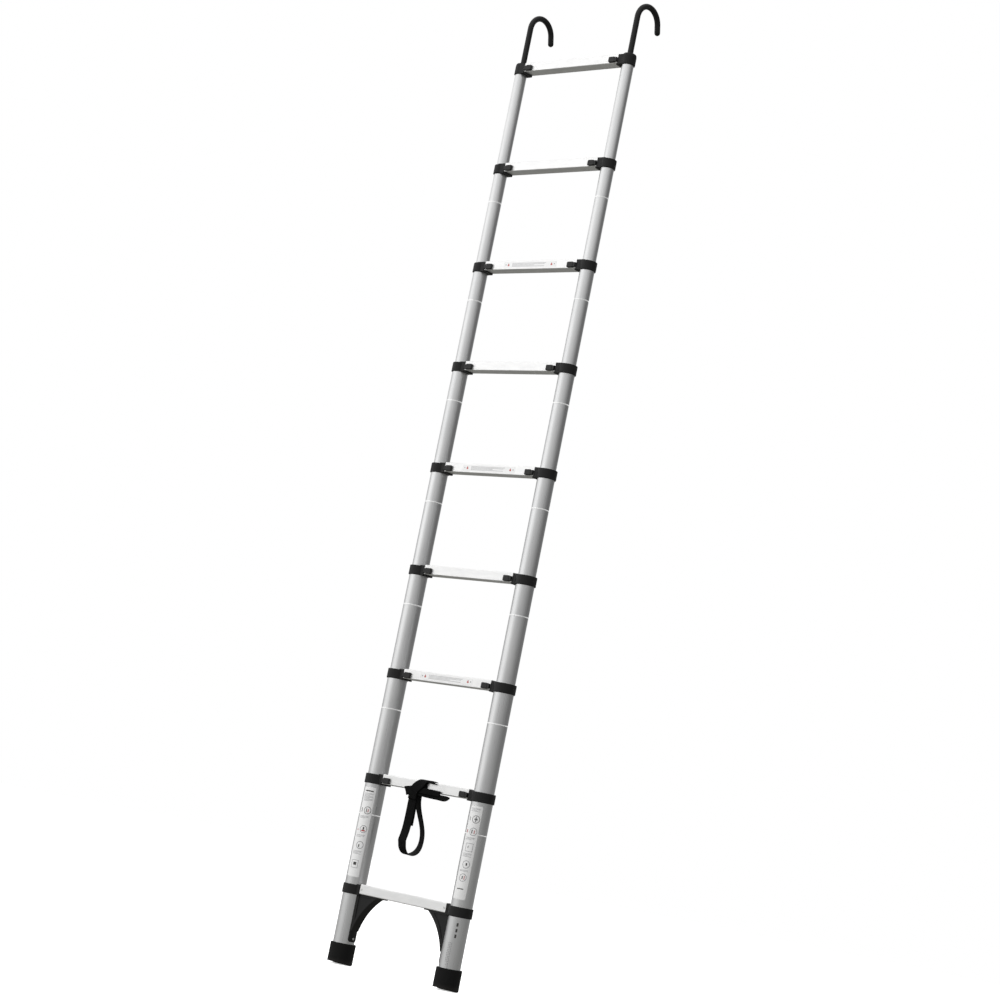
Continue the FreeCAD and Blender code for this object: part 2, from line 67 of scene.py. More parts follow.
# A rung's axis is the line that its section and its collars are drawn about, this far
# above its underside. The rung's own middle is 2 mm higher.
RUNG_DROP = 11.5 * MM
# From a rung's axis down to the marker groove of the tube under it, which is where the
# next tube ends inside.
INSERTION = 100 * MM


# ---- camera ------------------------------------------------------------------
CAMERA_PLACE = Vector((4.3652, -4.7838, 0.3362))
CAMERA_HEADING = 42.07
CAMERA_PITCH = 8.65
CAMERA_ROLL = 11.33
CAMERA_LENS = 85.585


def add_camera():
    """The camera stands low in front of the ladder, to its right, and leans to one side."""
    data = bpy.data.cameras.new("camera")
    data.lens = CAMERA_LENS
    data.sensor_width = 36
    data.clip_end = 200
    camera = bpy.data.objects.new("camera", data)
    heading = Euler((0, 0, math.radians(CAMERA_HEADING))).to_quaternion()
    pitch = Euler((math.radians(90 + CAMERA_PITCH), 0, 0)).to_quaternion()
    roll = Euler((0, 0, math.radians(CAMERA_ROLL))).to_quaternion()
    camera.rotation_mode = "QUATERNION"
    camera.rotation_quaternion = heading @ pitch @ roll
    camera.location = CAMERA_PLACE
    bpy.context.scene.collection.objects.link(camera)
    bpy.context.scene.camera = camera


# ---- places read from the frame ----------------------------------------------
def rung_height(number):
    """Height of the axis of rungs 1 to 9."""
    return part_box("rung_%d" % number)[0].z + RUNG_DROP


def tube_radius(number):
    """Outer radius of the tubes of one stage."""
    low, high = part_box("stile_tubes_%d" % number)
    return (high.y - low.y) / 2


def stile_places():
    """X of the axes of the left and the right stile."""
    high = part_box("stile_tubes_1")[1]
    axis = high.x - tube_radius(1)
    return -axis, axis


def tube_body(number):
    """The body that tubes 1 to 8 belong to."""
    return "base" if number == 1 else "stage_%d" % number


def rung_front():
    """Y of the front face of a rung."""
    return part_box("rung_2")[0].y


# ---- node helpers ------------------------------------------------------------
def new_material(name, colour, metallic, roughness):
    """A Principled material with the values that are the same all over it."""
    material = bpy.data.materials.new(name)
    material.use_nodes = True
    tree = material.node_tree
    shader = tree.nodes["Principled BSDF"]
    shader.inputs["Base Color"].default_value = (*colour, 1)
    shader.inputs["Metallic"].default_value = metallic
    shader.inputs["Roughness"].default_value = roughness
    return material, tree, shader


def noise(tree, stretch, scale, detail=3.0):
    """Noise in the row frame, stretched by a factor along each axis."""
    place = tree.nodes.new("ShaderNodeTexCoord")
    mapping = tree.nodes.new("ShaderNodeMapping")
    mapping.inputs["Scale"].default_value = stretch
    texture = tree.nodes.new("ShaderNodeTexNoise")
    texture.inputs["Scale"].default_value = scale
    texture.inputs["Detail"].default_value = detail
    tree.links.new(place.outputs["Object"], mapping.inputs["Vector"])
    tree.links.new(mapping.outputs["Vector"], texture.inputs["Vector"])
    return texture.outputs["Fac"]


def ramp(tree, source, stops):
    """A colour ramp; each stop is a position and a colour."""
    node = tree.nodes.new("ShaderNodeValToRGB")
    elements = node.color_ramp.elements
    while len(elements) < len(stops):
        elements.new(0.5)
    for element, (position, colour) in zip(elements, stops):
        element.position = position
        element.color = (*colour, 1)
    tree.links.new(source, node.inputs["Fac"])
    return node.outputs["Color"]


def spread(tree, source, low, high, start=0.3, end=0.7):
    """Maps the middle of a noise to values from low to high."""
    node = tree.nodes.new("ShaderNodeMapRange")
    node.inputs["From Min"].default_value = start
    node.inputs["From Max"].default_value = end
    node.inputs["To Min"].default_value = low
    node.inputs["To Max"].default_value = high
    tree.links.new(source, node.inputs["Value"])
    return node.outputs["Result"]


def math_node(tree, operation, first, second=0.0):
    """One Math node; each input is a socket or a number."""
    node = tree.nodes.new("ShaderNodeMath")
    node.operation = operation
    for socket, value in zip(node.inputs, (first, second)):
        if isinstance(value, (int, float)):
            socket.default_value = value
        else:
            tree.links.new(value, socket)
    return node.outputs["Value"]


def add_bump(tree, shader, height, distance, strength=1.0):
    """Bump on a shader; distance is the relief's height in metres."""
    node = tree.nodes.new("ShaderNodeBump")
    node.inputs["Distance"].default_value = distance
    node.inputs["Strength"].default_value = strength
    tree.links.new(height, node.inputs["Height"])
    tree.links.new(node.outputs["Normal"], shader.inputs["Normal"])


def grey(value):
    """A neutral colour."""
    return (value, value, value)


# ---- materials ---------------------------------------------------------------
def tube_material():
    """Silver anodised tube: drawing lines along Z, faint cloudiness."""
    material, tree, shader = new_material("anodised_tube", (0.79, 0.795, 0.8), 1.0, 0.32)
    lines = noise(tree, (1.0, 1.0, 0.006), 1400.0, 2.0)
    clouds = noise(tree, (1.0, 1.0, 0.3), 30.0)
    tree.links.new(
        ramp(tree, clouds, [(0.3, (0.76, 0.765, 0.77)), (0.7, (0.82, 0.823, 0.825))]),
        shader.inputs["Base Color"],
    )
    tree.links.new(spread(tree, lines, 0.27, 0.37), shader.inputs["Roughness"])
    add_bump(tree, shader, lines, 0.00002, 0.5)
    return material


def rung_material():
    """Bright extruded rung: fine lines along X, small scuffs."""
    material, tree, shader = new_material("rung_aluminium", grey(0.93), 0.75, 0.4)
    lines = noise(tree, (0.006, 1.0, 1.0), 1600.0, 2.0)
    scuffs = noise(tree, (0.4, 1.0, 1.0), 60.0, 5.0)
    tree.links.new(
        ramp(tree, scuffs, [(0.35, grey(0.9)), (0.65, (0.955, 0.955, 0.95))]),
        shader.inputs["Base Color"],
    )
    tree.links.new(spread(tree, lines, 0.34, 0.44), shader.inputs["Roughness"])
    add_bump(tree, shader, lines, 0.00002, 0.4)
    return material


def moulded_plastic(name, dark, light, roughness):
    """Black moulded plastic with a fine spark-eroded grain."""
    material, tree, shader = new_material(name, grey(dark), 0.0, roughness)
    grain = noise(tree, (1.0, 1.0, 1.0), 1500.0, 2.0)
    clouds = noise(tree, (1.0, 1.0, 1.0), 55.0, 4.0)
    tree.links.new(
        ramp(tree, clouds, [(0.35, grey(dark)), (0.7, grey(light))]),
        shader.inputs["Base Color"],
    )
    tree.links.new(
        spread(tree, clouds, roughness - 0.06, roughness + 0.08), shader.inputs["Roughness"]
    )
    shader.inputs["Specular IOR Level"].default_value = 0.34
    add_bump(tree, shader, grain, 0.00006, 0.6)
    return material


def foot_material():
    """Black rubber, dusty towards the sole."""
    material, tree, shader = new_material("foot_rubber", grey(0.01), 0.0, 0.7)
    place = tree.nodes.new("ShaderNodeTexCoord")
    split = tree.nodes.new("ShaderNodeSeparateXYZ")
    tree.links.new(place.outputs["Object"], split.inputs["Vector"])
    speckle = noise(tree, (1.0, 1.0, 1.0), 420.0, 5.0)
    height = spread(tree, split.outputs["Z"], 1.0, 0.0, 0.001, 0.02)
    dust = math_node(tree, "MULTIPLY", height, speckle)
    tree.links.new(
        ramp(tree, dust, [(0.1, grey(0.006)), (0.75, (0.028, 0.026, 0.024))]),
        shader.inputs["Base Color"],
    )
    tree.links.new(spread(tree, speckle, 0.62, 0.8), shader.inputs["Roughness"])
    shader.inputs["Specular IOR Level"].default_value = 0.2
    add_bump(tree, shader, speckle, 0.00012, 0.5)
    return material


def hook_material():
    """Satin black rubber sleeve."""
    material, tree, shader = new_material("hook_rubber", grey(0.008), 0.0, 0.4)
    grain = noise(tree, (1.0, 1.0, 1.0), 700.0, 3.0)
    clouds = noise(tree, (1.0, 1.0, 1.0), 40.0, 3.0)
    tree.links.new(
        ramp(tree, clouds, [(0.3, grey(0.004)), (0.7, grey(0.008))]),
        shader.inputs["Base Color"],
    )
    tree.links.new(spread(tree, clouds, 0.36, 0.5), shader.inputs["Roughness"])
    shader.inputs["Specular IOR Level"].default_value = 0.36
    add_bump(tree, shader, grain, 0.00005, 0.5)
    return material


def steel_material(name, colour, roughness):
    """Bare or plated steel."""
    material, tree, shader = new_material(name, grey(colour), 1.0, roughness)
    grain = noise(tree, (1.0, 1.0, 1.0), 900.0, 3.0)
    tree.links.new(
        ramp(tree, grain, [(0.3, grey(colour - 0.05)), (0.7, grey(colour + 0.05))]),
        shader.inputs["Base Color"],
    )
    tree.links.new(
        spread(tree, grain, roughness - 0.05, roughness + 0.07), shader.inputs["Roughness"]
    )
    return material


def marker_material():
    """Bright machined ring that shows how far a tube may slide in."""
    material, tree, shader = new_material("marker_ring", grey(0.95), 0.0, 0.42)
    lines = noise(tree, (0.02, 0.02, 1.0), 5000.0, 2.0)
    tree.links.new(
        ramp(tree, lines, [(0.3, grey(0.9)), (0.7, grey(0.98))]), shader.inputs["Base Color"]
    )
    return material


WEAVE_PITCH = 1.5 * MM
WEAVE_CHEVRON = 5.0 * MM


def webbing_material():
    """Black polypropylene webbing: a herringbone weave that follows the strip's UV map; painted
    shade darkens the weave's grooves.
    """
    material, tree, shader = new_material("webbing", grey(0.004), 0.0, 0.68)
    uv = tree.nodes.new("ShaderNodeUVMap")
    uv.uv_map = "strip"
    split = tree.nodes.new("ShaderNodeSeparateXYZ")
    tree.links.new(uv.outputs["UV"], split.inputs["Vector"])
    along, across = split.outputs["X"], split.outputs["Y"]
    chevron = math_node(tree, "PINGPONG", across, WEAVE_CHEVRON)
    phase = math_node(tree, "ADD", along, chevron)
    turns = math_node(tree, "MULTIPLY", phase, 2 * math.pi / WEAVE_PITCH)
    rib = math_node(tree, "SINE", turns)
    fibre = noise(tree, (1.0, 1.0, 1.0), 2600.0, 2.0)
    height = math_node(tree, "ADD", math_node(tree, "MULTIPLY", rib, 0.5), fibre)
    # Colour from the weave's relief: painted shade in the grooves and lighter ribs, with the
    # fibres' own random tone mixed in.
    tree.links.new(
        ramp(tree, height, [(0.0, grey(0.0015)), (0.95, grey(0.007))]),
        shader.inputs["Base Color"],
    )
    tree.links.new(spread(tree, fibre, 0.6, 0.78), shader.inputs["Roughness"])
    shader.inputs["Specular IOR Level"].default_value = 0.07
    shader.inputs["Sheen Weight"].default_value = 0.01
    shader.inputs["Sheen Roughness"].default_value = 0.4
    add_bump(tree, shader, height, 0.00025, 0.7)
    return material


def print_material(name, colour, roughness):
    """Printed vinyl: paper white or an ink, with a slight unevenness."""
    material, tree, shader = new_material(name, colour, 0.0, roughness)
    blots = noise(tree, (1.0, 1.0, 1.0), 300.0, 4.0)
    darker = [channel * 0.94 for channel in colour]
    tree.links.new(
        ramp(tree, blots, [(0.35, darker), (0.65, colour)]), shader.inputs["Base Color"]
    )
    shader.inputs["Coat Weight"].default_value = 0.2
    return material


def make_materials():
    """Material of every slot of the record, and those of the added pieces."""
    return {
        "anodised_tube": tube_material(),
        "rung_aluminium": rung_material(),
        "black_plastic": moulded_plastic("black_plastic", 0.005, 0.009, 0.5),
        "latch_plastic": moulded_plastic("latch_plastic", 0.011, 0.019, 0.45),
        "bush_plastic": moulded_plastic("bush_plastic", 0.05, 0.07, 0.5),
        "foot_rubber": foot_material(),
        "hook_rubber": hook_material(),
        "hook_steel": steel_material("hook_steel", 0.55, 0.35),
        "rivet_steel": steel_material("rivet_steel", 0.8, 0.3),
        "marker_ring": marker_material(),
        "webbing": webbing_material(),
        "label_white": print_material("label_white", (0.83, 0.83, 0.83), 0.35),
        "ink_grey": print_material("ink_grey", (0.24, 0.24, 0.25), 0.4),
        "ink_dark": print_material("ink_dark", (0.05, 0.048, 0.046), 0.4),
        "ink_red": print_material("ink_red", (0.42, 0.05, 0.04), 0.4),
    }


def node_slot(name):
    """The record's material slot of a CAD node."""
    for start, slot in (
        ("stile_tubes", "anodised_tube"),
        ("rung_", "rung_aluminium"),
        ("guide_bushes", "bush_plastic"),
        ("latch", "latch_plastic"),
        ("foot", "foot_rubber"),
        ("rivets", "rivet_steel"),
        ("hook_rod", "hook_steel"),
        ("hook_sleeve", "hook_rubber"),
        ("hook_guides", "bush_plastic"),
        ("strap", "webbing"),
    ):
        if name.startswith(start):
            return slot
    return "black_plastic"


def dress_cad_nodes(materials):
    """Gives every CAD node the material of its slot."""
    for name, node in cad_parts.items():
        node.data.materials.clear()
        node.data.materials.append(materials[node_slot(name)])


# ---- mesh helpers ------------------------------------------------------------
def new_piece(name, mesh, body, materials):
    """Turns a bmesh into a piece that rides on a body."""
    data = bpy.data.meshes.new(name)
    mesh.to_mesh(data)
    mesh.free()
    for material in materials:
        data.materials.append(material)
    piece = bpy.data.objects.new(name, data)
    bpy.context.scene.collection.objects.link(piece)
    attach(piece, body)
    return piece


def smooth_line(points):
    """Points along the NURBS spline that has these control points."""
    curve = bpy.data.curves.new("line", "CURVE")
    curve.dimensions = "3D"
    spline = curve.splines.new("NURBS")
    spline.points.add(len(points) - 1)
    for place, point in zip(spline.points, points):
        place.co = (*point, 1.0)
    spline.order_u = 3
    spline.use_endpoint_u = True
    spline.resolution_u = 10
    holder = bpy.data.objects.new("line", curve)
    data = bpy.data.meshes.new_from_object(holder)
    line = [vertex.co.copy() for vertex in data.vertices]
    bpy.data.objects.remove(holder)
    bpy.data.curves.remove(curve)
    bpy.data.meshes.remove(data)
    return line


# ---- carrying strap ----------------------------------------------------------
STRAP_WIDTH = 30 * MM
STRAP_THICKNESS = 2.2 * MM
# The strip's upper outline: place across it and height, as shares of its half
# width and half thickness. The two ribs near the selvedges stand highest.
STRIP_OUTLINE = [
    (-0.955, 0.7),
    (-0.86, 1.0),
    (-0.45, 0.93),
    (0.0, 0.96),
    (0.45, 0.93),
    (0.86, 1.0),
    (0.955, 0.7),
]

# Each station is X, Y, Z from the middle of rung 2's axis in millimetres, then the turn
# of the strip about the vertical and, where it isn't level, its tilt, in degrees: down in
# front with a crease low on the left, round the bottom, and up again to the middle of
# the rung's underside.
LOOP_STATIONS = [
    (-31.5, -21.5, -15.0, 0),
    (-32.5, -20.5, -45.0, 0),
    (-34.5, -18.5, -82.0, 0),
    (-36.5, -17.5, -115.0, 0),
    (-37.5, -20.5, -137.0, 0),
    (-37.0, -24.8, -149.0, 0),
    (-36.0, -24.2, -155.0, 1),
    (-35.5, -19.5, -173.0, 3, 0),
    (-35.5, -4.0, -186.0, 8, 0),
    (-35.0, 17.0, -186.0, 13, 5),
    (-34.5, 35.0, -177.5, 18, 7),
    (-34.0, 46.0, -163.0, 21, 5),
    (-34.0, 50.0, -142.0, 23),
    (-34.0, 46.5, -120.0, 23),
    (-34.0, 36.0, -98.0, 23),
    (-34.0, 22.0, -76.0, 21),
    (-34.0, 10.0, -55.0, 18),
    (-34.0, 3.0, -36.0, 14),
    (-33.5, 1.0, -15.5, 8),
]


def strip_section(half_width, half_thickness):
    """Outline of the strip's section: flat faces and rounded selvedges."""
    upper = [(u * half_width, v * half_thickness) for u, v in STRIP_OUTLINE]
    lower = [(across, -up) for across, up in reversed(upper)]
    return [(-half_width, 0.0)] + upper + [(half_width, 0.0)] + lower


def strip_mesh(centres, edges, thickness):
    """A flat strip along centres; edges are points on one selvedge."""
    mesh = bmesh.new()
    uv_layer = mesh.loops.layers.uv.new("strip")
    rows, travelled, distance = [], [], 0.0
    for index, centre in enumerate(centres):
        before = centres[max(index - 1, 0)]
        after = centres[min(index + 1, len(centres) - 1)]
        along = (after - before).normalized()
        across = edges[index] - centre
        half_width = across.length
        across = (across - along * across.dot(along)).normalized()
        up = along.cross(across)
        section = strip_section(half_width, thickness / 2)
        rows.append([mesh.verts.new(centre + across * u + up * v) for u, v in section])
        if index:
            distance += (centre - centres[index - 1]).length
        travelled.append(distance)
    count = len(rows[0])
    widths = [u for u, v in strip_section(STRAP_WIDTH / 2, thickness / 2)]
    for index in range(len(rows) - 1):
        for corner in range(count):
            other = (corner + 1) % count
            face = mesh.faces.new(
                (
                    rows[index][corner],
                    rows[index][other],
                    rows[index + 1][other],
                    rows[index + 1][corner],
                )
            )
            spots = (
                (travelled[index], widths[corner]),
                (travelled[index], widths[other]),
                (travelled[index + 1], widths[other]),
                (travelled[index + 1], widths[corner]),
            )
            for loop, spot in zip(face.loops, spots):
                loop[uv_layer].uv = spot
            face.smooth = True
    mesh.faces.new(rows[0])
    mesh.faces.new(list(reversed(rows[-1])))
    bmesh.ops.recalc_face_normals(mesh, faces=mesh.faces)
    return mesh


def strip(name, controls, material, thickness=STRAP_THICKNESS):
    """A strip of webbing; each control is its centre and its half width as a vector."""
    centres = smooth_line([centre for centre, half in controls])
    edges = smooth_line([centre + half for centre, half in controls])
    piece = new_piece(name, strip_mesh(centres, edges, thickness), "base", [material])
    return piece, centres


def strap_point(x, y, z):
    """A point given in millimetres from the middle of rung 2's axis."""
    return Vector((x, y, z)) * MM + Vector((0, 0, rung_height(2)))


def direction(turn, tilt=0.0):
    """Unit vector along +X, turned towards -Y and then tilted down, in degrees."""
    turn, tilt = math.radians(turn), math.radians(tilt)
    level = Vector((math.cos(turn), -math.sin(turn), 0))
    return level * math.cos(tilt) - Vector((0, 0, math.sin(tilt)))


def strap_stations(stations, width=STRAP_WIDTH):
    """Controls from X, Y, Z, turn and, where given, tilt."""
    return [
        (strap_point(*station[:3]), direction(*station[3:]) * width / 2)
        for station in stations
    ]


def tapered_stations(stations):
    """Controls from X, Y, Z, turn, tilt and the width in millimetres."""
    return [
        (strap_point(*place), direction(turn, tilt) * width * MM / 2)
        for *place, turn, tilt, width in stations
    ]


# The second layer that is sewn behind the top of the front leg.
LAP_STATIONS = [
    (-30.0, -19.1, -17.0, 0),
    (-30.0, -18.1, -45.0, 0),
    (-31.0, -16.1, -82.0, 0),
    (-32.0, -15.0, -108.0, 0),
]

# The rear leg's way on: forward under the rung and up behind the knot.
TUCK_STATIONS = [
    (-33.5, 1.2, -20.0, 8),
    (-33.5, 1.0, -12.6, 6),
    (-33.0, -10.0, -12.9, 2),
    (-32.0, -20.6, -13.6, 0),
    (-30.5, -19.6, -2.0, 0),
]

# The turn over the front of the knot: up from the front leg, over the rung to the
# right, down behind it and forward under it.
BAND_STATIONS = [
    (-32.5, -23.8, -38.0, 0, 4),
    (-31.5, -25.4, -22.0, 0, 12),
    (-26.0, -28.0, -9.0, 0, 20),
    (-13.5, -27.6, 2.0, 0, 24),
    (-6.0, -25.2, 9.5, 4, 16),
    (-2.5, -21.0, 17.6, 10, 4),
    (-1.0, -6.0, 18.8, 12, 0),
    (-1.0, 10.0, 18.8, 8, 0),
    (-1.5, 22.4, 17.5, 4, 0),
    (-3.0, 21.9, 3.0, 0, 0),
    (-6.0, 22.0, -13.5, 0, 0),
    (-11.0, 10.0, -15.6, 0, 0),
    (-16.0, -4.0, -15.4, 0, 0),
]

# The fold that stands out on the left of the knot.
FOLD_STATIONS = [
    (-28.0, -23.5, -13.0, 0, 90),
    (-46.0, -25.0, -15.0, 0, 76),
    (-57.0, -26.0, -17.5, 0, 60),
    (-61.5, -23.5, -18.5, 0, 54),
    (-57.0, -21.2, -17.5, 0, 60),
    (-44.5, -20.6, -14.0, 0, 76),
    (-28.0, -20.6, -10.0, 0, 90),
]

# The two loose ends that lie along the front of the rung.
SHORT_END_STATIONS = [
    (-12.0, -24.5, -11.0, 0, 90),
    (6.0, -26.0, -11.5, 0, 90),
    (24.0, -24.5, -11.8, 0, 90),
    (44.0, -23.2, -12.2, 0, 90),
    (64.0, -22.4, -12.8, 0, 90),
]

# In these two the last value is the strip's width in millimetres. The second is the
# pointed end that lies along the front edge of the tread.
LONG_END_STATIONS = [
    (-18.0, -23.0, -18.0, 0, 90, 15.0),
    (8.0, -22.2, -20.0, 0, 90, 15.0),
    (36.0, -21.0, -21.0, 0, 80, 15.0),
    (60.0, -21.0, -21.5, 0, 74, 15.0),
    (80.0, -22.5, -22.5, 0, 76, 16.0),
    (93.0, -23.3, -21.0, 0, 80, 13.0),
    (101.0, -23.5, -18.5, 0, 84, 4.0),
]
POINT_STATIONS = [
    (-4.0, -20.6, 16.0, 90, 40, 9.0),
    (12.0, -20.8, 15.4, 90, 50, 8.0),
    (25.0, -20.4, 14.2, 90, 58, 6.5),
    (36.0, -20.0, 12.8, 90, 62, 4.5),
    (45.0, -19.8, 11.6, 90, 64, 1.4),
]

# The turn round the rung: its gap to the rung, the X of its middle in front, how far it
# moves along X by its end, and the number of steps round each corner.
TURN_GAP = 0.2 * MM
TURN_START = 2.5 * MM
TURN_LEAD = -7 * MM
TURN_STEPS = 6
RUNG_ROUNDING = 2.2 * MM


def rung_turn(start, lead):
    """Centres and edges of one turn of webbing round rung 2.

    start is the X of the turn's middle in front, lead how far it moves along X.
    """
    low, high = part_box("rung_2")
    offset = TURN_GAP + STRAP_THICKNESS / 2
    corner = RUNG_ROUNDING + offset
    middle = (low.z + high.z) / 2
    half_y = (high.y - low.y) / 2 + offset - corner
    half_z = (high.z - low.z) / 2 + offset - corner
    centres = []
    for quarter, (side_y, side_z) in enumerate(((-1, 1), (1, 1), (1, -1), (-1, -1))):
        for step in range(TURN_STEPS + 1):
            angle = math.radians(180 - 90 * quarter - 90 * step / TURN_STEPS)
            out = side_y * half_y + corner * math.cos(angle)
            height = middle + side_z * half_z + corner * math.sin(angle)
            centres.append(Vector((0, out, height)))
    centres.append(centres[0].copy())
    length = sum((b - a).length for a, b in zip(centres, centres[1:]))
    travelled, previous = 0.0, centres[0]
    for centre in centres:
        travelled += (centre - previous).length
        previous = centre.copy()
        centre.x = start + lead * travelled / length
        previous.x = 0
    edges = [centre + Vector((STRAP_WIDTH / 2, 0, 0)) for centre in centres]
    return centres, edges


def add_strap(material):
    """The strap on rung 2: hanging loop, turns round the rung and loose ends."""
    loop, centres = strip("strap_webbing_loop", strap_stations(LOOP_STATIONS), material)
    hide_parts("strap_loop")
    for name, stations, width in (
        ("strap_webbing_lap", LAP_STATIONS, STRAP_WIDTH),
        ("strap_webbing_tuck", TUCK_STATIONS, STRAP_WIDTH),
        ("strap_webbing_band", BAND_STATIONS, STRAP_WIDTH),
        ("strap_webbing_fold", FOLD_STATIONS, 24 * MM),
        ("strap_webbing_short_end", SHORT_END_STATIONS, 16 * MM),
    ):
        strip(name, strap_stations(stations, width), material)[0]
    for name, stations in (
        ("strap_webbing_long_end", LONG_END_STATIONS),
        ("strap_webbing_point", POINT_STATIONS),
    ):
        strip(name, tapered_stations(stations), material)[0]
    turn_centres, turn_edges = rung_turn(TURN_START, TURN_LEAD)
    mesh = strip_mesh(turn_centres, turn_edges, STRAP_THICKNESS)
    name = "strap_webbing_turn"
    new_piece(name, mesh, "base", [material])
    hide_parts("strap_wrap")


# ---- marker rings ------------------------------------------------------------
RING_WIDTH = 3.0 * MM
RING_DEPTH = 0.42 * MM
RING_PROUD = 0.12 * MM
RING_STEPS = 96


def add_marker_rings(material):
    """Bright rings in the grooves of tubes 1 to 7, both stiles."""
    for number in range(1, TUBE_COUNT):
        mesh = bmesh.new()
        radius = tube_radius(number)
        height = rung_height(number + 1) - INSERTION
        outline = (
            (radius - RING_DEPTH, -RING_WIDTH / 2),
            (radius + RING_PROUD / 2, -RING_WIDTH / 2),
            (radius + RING_PROUD, -RING_WIDTH / 4),
            (radius + RING_PROUD, RING_WIDTH / 4),
            (radius + RING_PROUD / 2, RING_WIDTH / 2),
            (radius - RING_DEPTH, RING_WIDTH / 2),
        )
        for axis in stile_places():
            rows = []
            for step in range(RING_STEPS):
                angle = 2 * math.pi * step / RING_STEPS
                rows.append(
                    [
                        mesh.verts.new(
                            (axis + out * math.cos(angle), out * math.sin(angle), height + up)
                        )
                        for out, up in outline
                    ]
                )
            for row, after in zip(rows, rows[1:] + rows[:1]):
                for corner in range(len(outline)):
                    other = (corner + 1) % len(outline)
                    face = mesh.faces.new((row[corner], after[corner], after[other], row[other]))
                    face.smooth = True
        bmesh.ops.recalc_face_normals(mesh, faces=mesh.faces)
        name = "marker_rings_%d" % number
        new_piece(name, mesh, tube_body(number), [material])


# ---- labels ------------------------------------------------------------------
LABEL_WIDTH = 38 * MM
LABEL_TOP_MARGIN = 26 * MM
LABEL_BOTTOM_MARGIN = 31 * MM
LABEL_CORNER = 4 * MM
LABEL_TURN = 15.0
LOWER_PRINT_TURN = 32.0
FILM_GAP = 0.05 * MM
LABEL_FILM = 0.12 * MM
INK_FILM = 0.05 * MM
RUNG_LABEL_HALF = 97 * MM
RUNG_LABEL_HEIGHT = 17 * MM
# The middle of a rung's front face above its axis.
RUNG_LABEL_RISE = 2 * MM
STEP = 2 * MM
SHEET_CORNER_STEPS = 6
CIRCLE_STEPS = 28
CIRCLE_RADIUS = 10.5 * MM
FRAME_STROKE = 1.1 * MM
PAPER, GREY_INK, DARK_INK, RED_INK = range(4)


class Print:
    """Flat shapes in label coordinates, laid on a surface by a function."""

    def __init__(self, lay):
        self.lay = lay
        self.mesh = bmesh.new()

    def add_columns(self, columns, ink, closed=False):
        """Quads between neighbouring pairs of points."""
        lift = FILM_GAP if ink == PAPER else FILM_GAP + LABEL_FILM
        depth = LABEL_FILM if ink == PAPER else INK_FILM
        layers = []
        for level in (lift, lift + depth):
            layers.append([[self.mesh.verts.new(self.lay(x, z, level)) for x, z in pair]
                           for pair in columns])
        under, over = layers
        count = len(columns)
        faces = []
        for index in range(count if closed else count - 1):
            after = (index + 1) % count
            faces.append((over[index][0], over[after][0], over[after][1], over[index][1]))
            faces.append((under[index][0], under[index][1], under[after][1], under[after][0]))
            for side in (0, 1):
                faces.append(
                    (under[index][side], under[after][side], over[after][side], over[index][side])
                )
        if not closed:
            for index in (0, count - 1):
                faces.append(
                    (under[index][0], over[index][0], over[index][1], under[index][1])
                )
        for corners in faces:
            self.mesh.faces.new(corners).material_index = ink

    def add_bar(self, left, right, bottom, top, ink):
        """A rectangle, in columns narrow enough to follow a round stile."""
        count = max(1, math.ceil((right - left) / STEP))
        places = [left + (right - left) * index / count for index in range(count + 1)]
        self.add_columns([((x, bottom), (x, top)) for x in places], ink)

    def add_sheet(self, left, right, bottom, top, corner):
        """The label's paper, with rounded corners."""
        insets = []
        for index in range(SHEET_CORNER_STEPS + 1):
            angle = math.radians(90 * index / SHEET_CORNER_STEPS)
            insets.append((corner * (1 - math.cos(angle)), corner * (1 - math.sin(angle))))
        straight = right - left - 2 * corner
        count = max(1, math.ceil(straight / STEP))
        places = [(left + along, inset) for along, inset in insets]
        places += [(left + corner + straight * index / count, 0.0) for index in range(1, count)]
        places += [(right - along, inset) for along, inset in reversed(insets)]
        self.add_columns([((x, bottom + inset), (x, top - inset)) for x, inset in places], PAPER)

    def add_ring(self, x, z, radius, stroke, ink):
        """A circle's outline round x, z."""
        columns = []
        for index in range(CIRCLE_STEPS):
            angle = 2 * math.pi * index / CIRCLE_STEPS
            turn = (math.cos(angle), math.sin(angle))
            columns.append(
                tuple(
                    (x + size * turn[0], z + size * turn[1])
                    for size in (radius - stroke, radius)
                )
            )
        self.add_columns(columns, ink, closed=True)

    def add_frame(self, x, z, half_width, half_height, stroke, ink):
        """The outline of a rectangle."""
        left, right, bottom, top = x - half_width, x + half_width, z - half_height, z + half_height
        self.add_bar(left, right, top - stroke, top, ink)
        self.add_bar(left, right, bottom, bottom + stroke, ink)
        self.add_bar(left, left + stroke, bottom + stroke, top - stroke, ink)
        self.add_bar(right - stroke, right, bottom + stroke, top - stroke, ink)

    def add_lines(self, left, right, top, count, ink, pitch=2.6 * MM, height=0.9 * MM):
        """Short bars that stand for lines of print; every third is shorter."""
        for index in range(count):
            end = right - (right - left) * (0.35 if index % 3 == 2 else 0.04 * (index % 2))
            place = top - index * pitch
            self.add_bar(left, end, place - height, place, ink)

    def add_marks(self, top, marks):
        """Bars: left, right, drop of the lower and of the upper edge below top, in mm."""
        for left, right, lower, upper, ink in marks:
            self.add_bar(left * MM, right * MM, top - lower * MM, top - upper * MM, ink)

    def add_circles(self, top, stroke, circles):
        """Circles: x and drop below top, in mm."""
        for x, drop, ink in circles:
            self.add_ring(x * MM, top - drop * MM, CIRCLE_RADIUS, stroke, ink)

    def add_paragraphs(self, top, paragraphs):
        """Blocks of lines: drop below top in mm and the number of lines."""
        for drop, count in paragraphs:
            self.add_lines(-13 * MM, 13 * MM, top - drop * MM, count, GREY_INK)

    def finish(self, name, body, materials):
        """Closes the sheet's mesh and makes it a piece."""
        bmesh.ops.recalc_face_normals(self.mesh, faces=self.mesh.faces)
        return new_piece(name, self.mesh, body, materials)


